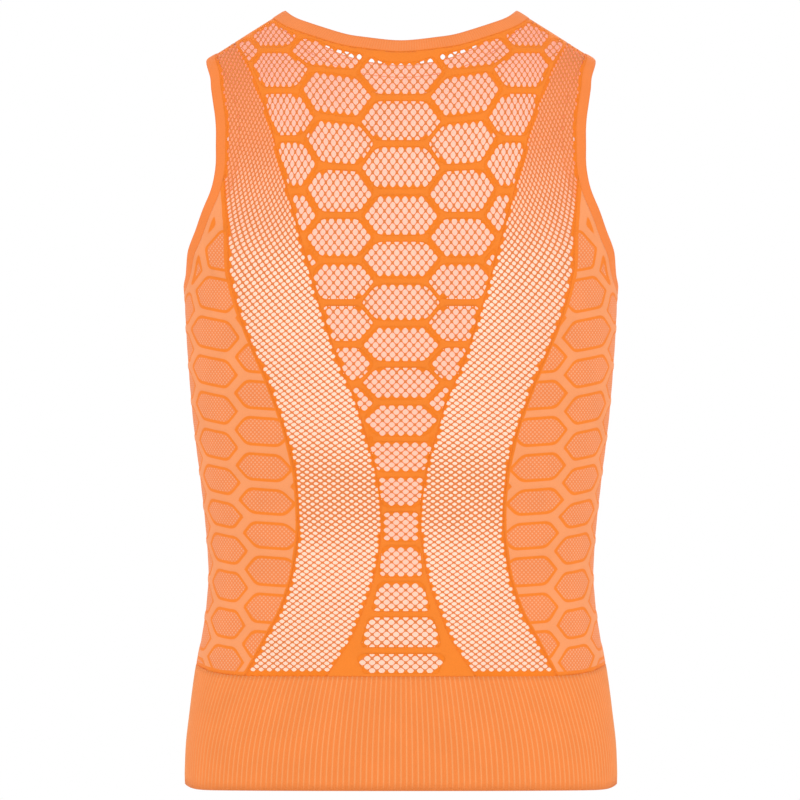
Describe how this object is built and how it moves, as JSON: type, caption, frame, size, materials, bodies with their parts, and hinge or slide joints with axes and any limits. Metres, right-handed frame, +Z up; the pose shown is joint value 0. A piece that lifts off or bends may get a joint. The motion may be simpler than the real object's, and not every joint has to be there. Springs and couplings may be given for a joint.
{
  "type": "sleeveless base layer",
  "caption": "Close-fitting sleeveless sports base layer in body-mapped mesh knit, hollow and filled out as worn, with bound neck and armholes and a ribbed hem band.",
  "frame": {"origin": "the middle of the neck opening, level with the two points where the neck meets the shoulder line, where the wearer's shoulders hold the garment", "axes": "+Z is up along the body, -Y is the wearer's back and +X the wearer's right"},
  "size_m": [0.3636, 0.2385, 0.6505],
  "materials": {
    "honeycomb_mesh": "matt knit with smooth ribs round cells of open net",
    "open_mesh": "matt open net",
    "ridged_knit": "matt knit with raised honeycomb ridges",
    "binding": "smooth folded binding",
    "rib": "matt fine rib"
  },
  "bodies": {
    "root": {"back_centre": "honeycomb_mesh", "back_mesh_left": "open_mesh", "back_mesh_right": "open_mesh", "side_left": "ridged_knit", "side_right": "ridged_knit", "front_panel": "open_mesh", "neckband": "rib", "armhole_band_left": "binding", "armhole_band_right": "binding", "hem_band": "rib"}
  },
  "joints": []
}
